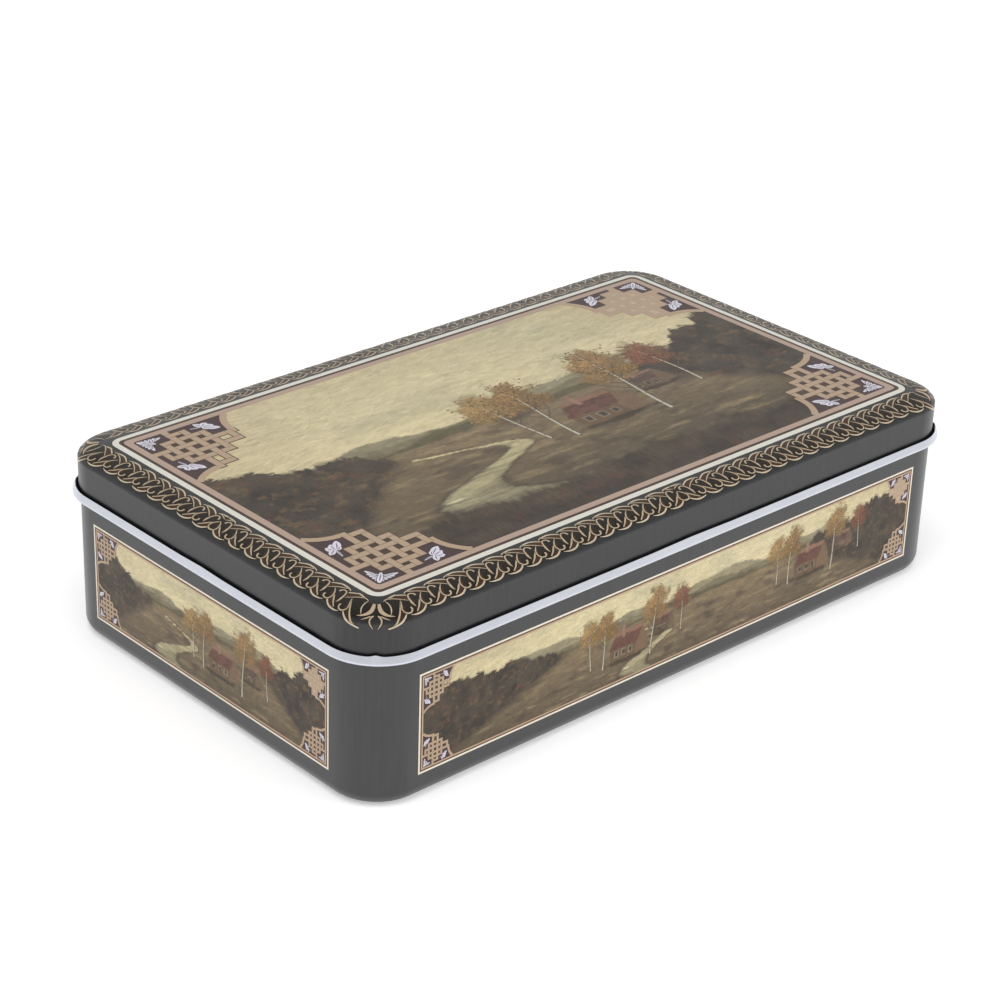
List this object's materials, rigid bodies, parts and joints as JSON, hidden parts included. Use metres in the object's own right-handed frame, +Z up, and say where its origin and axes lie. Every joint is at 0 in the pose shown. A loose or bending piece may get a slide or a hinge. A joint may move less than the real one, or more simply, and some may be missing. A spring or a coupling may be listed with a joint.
{
  "type": "lotto game box",
  "caption": "Flat rectangular tin with rounded corners and a slip-over lid, holding a lotto set: cards, numbered barrels, cover chips, a folded cotton bag and a leaflet.",
  "frame": {"origin": "centre of the base, on the surface that the tin stands on", "axes": "+X along the tin's length, +Y across it away from the long face in the picture, +Z up out of the lid"},
  "size_m": [0.2388, 0.1464, 0.0597],
  "materials": {
    "printed_tin": "satin printed tinplate",
    "bare_tin": "bare rolled tinplate",
    "card_board": "matt printed board",
    "keg_wood": "turned, unvarnished",
    "chip_board": "matt printed board",
    "bag_cotton": "plain woven cotton",
    "leaflet_paper": "matt"
  },
  "bodies": {
    "tin_body": {"body_wall": "printed_tin", "bottom_plate": "bare_tin", "card_01": "card_board", "card_02": "card_board", "card_03": "card_board", "card_04": "card_board", "card_05": "card_board", "card_06": "card_board", "card_07": "card_board", "card_08": "card_board", "card_09": "card_board", "card_10": "card_board", "card_11": "card_board", "card_12": "card_board", "card_13": "card_board", "card_14": "card_board", "card_15": "card_board", "card_16": "card_board", "card_17": "card_board", "card_18": "card_board", "card_19": "card_board", "card_20": "card_board", "card_21": "card_board", "card_22": "card_board", "card_23": "card_board", "card_24": "card_board", "kegs": "keg_wood", "chips": "chip_board", "keg_bag": "bag_cotton", "rules_leaflet": "leaflet_paper"},
    "lid": {"lid_shell": "printed_tin"}
  },
  "joints": [
    {"name": "lid_lift", "type": "slide", "parent": "tin_body", "child": "lid", "axis": [0, 0, 1], "range_m": [0, 0.08]}
  ]
}
